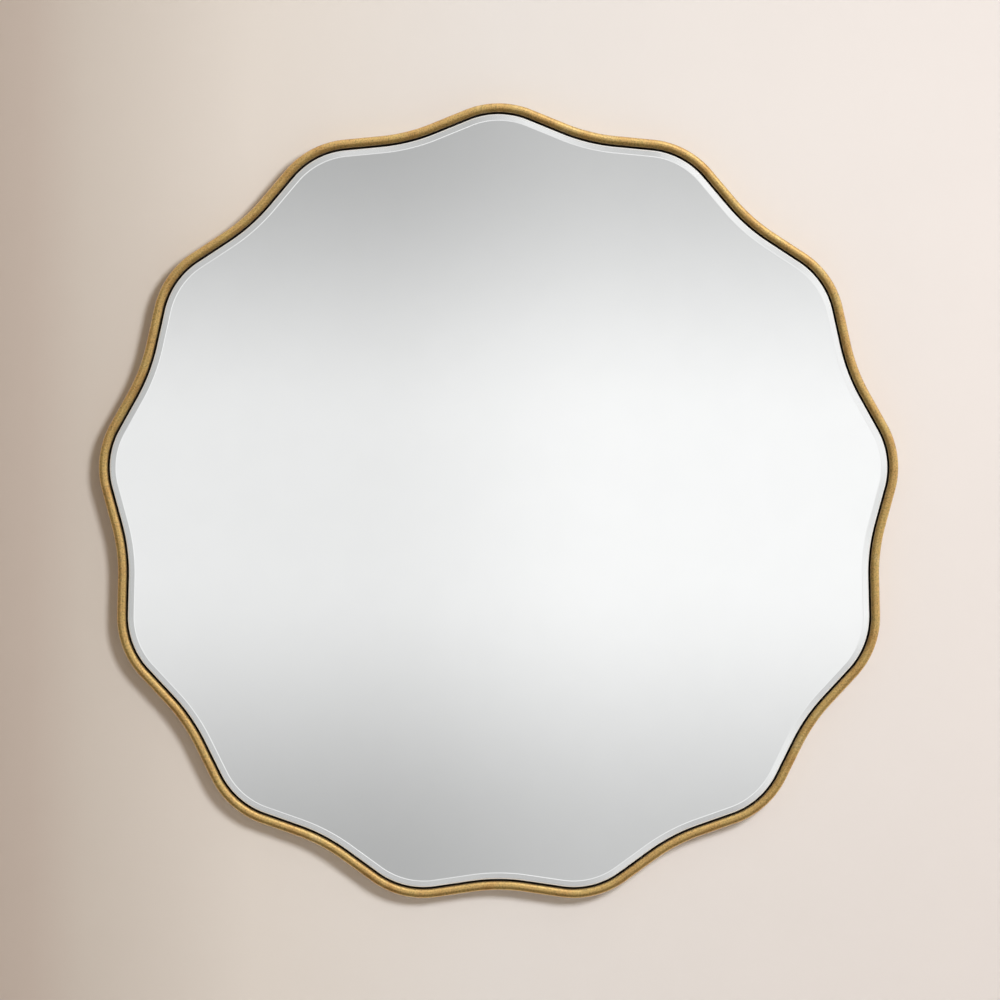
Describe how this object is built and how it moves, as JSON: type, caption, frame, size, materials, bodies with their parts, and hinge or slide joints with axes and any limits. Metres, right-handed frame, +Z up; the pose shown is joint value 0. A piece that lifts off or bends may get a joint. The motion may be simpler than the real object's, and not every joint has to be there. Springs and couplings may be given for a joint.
{
  "type": "scalloped wall mirror",
  "caption": "Round wall mirror with a scalloped edge: bevelled glass set in a thin gold frame of bent bar, on a black board with swinging D-ring hangers behind.",
  "frame": {"origin": "middle of the mirror, on the wall plane that its rubber bumpers touch", "axes": "+Z up the wall, +X to the viewer's right, glass faces -Y, the wall is at +Y"},
  "size_m": [0.865, 0.0254, 0.86],
  "materials": {
    "gold_leaf": "antique gold leaf, satin, over aluminium",
    "clear_glass": "polished, bevelled edge",
    "silver": "silvered, painted behind",
    "black_board": "matt black",
    "foam_tape": "closed-cell foam",
    "tab_aluminium": "gold over weld and tab",
    "zinc": "bright zinc plate",
    "bumper_rubber": "matt black"
  },
  "bodies": {
    "mirror": {"frame_ring": "gold_leaf", "mirror_glass": "clear_glass", "silvering": "silver", "backing_board": "black_board", "board_screws": "zinc", "hanger_screws": "zinc", "tape_strip_1": "foam_tape", "tape_strip_2": "foam_tape", "tape_strip_3": "foam_tape", "tape_strip_4": "foam_tape", "tape_strip_5": "foam_tape", "board_tab_1": "tab_aluminium", "board_tab_2": "tab_aluminium", "board_tab_3": "tab_aluminium", "board_tab_4": "tab_aluminium", "board_tab_5": "tab_aluminium", "board_tab_6": "tab_aluminium", "board_tab_7": "tab_aluminium", "hanger_strap_left": "zinc", "hanger_strap_right": "zinc", "wall_bumper_1": "bumper_rubber", "wall_bumper_2": "bumper_rubber", "wall_bumper_3": "bumper_rubber", "wall_bumper_4": "bumper_rubber"},
    "d_ring_left": {"d_ring_left": "zinc"},
    "d_ring_right": {"d_ring_right": "zinc"}
  },
  "joints": [
    {"name": "d_ring_left_swing", "type": "hinge", "parent": "mirror", "child": "d_ring_left", "pos_m": [-0.2032, -0.00465, 0.24], "axis": [-1, 0, 0], "range_deg": [0, 177]},
    {"name": "d_ring_right_swing", "type": "hinge", "parent": "mirror", "child": "d_ring_right", "pos_m": [0.2032, -0.00465, 0.24], "axis": [-1, 0, 0], "range_deg": [0, 177]}
  ]
}
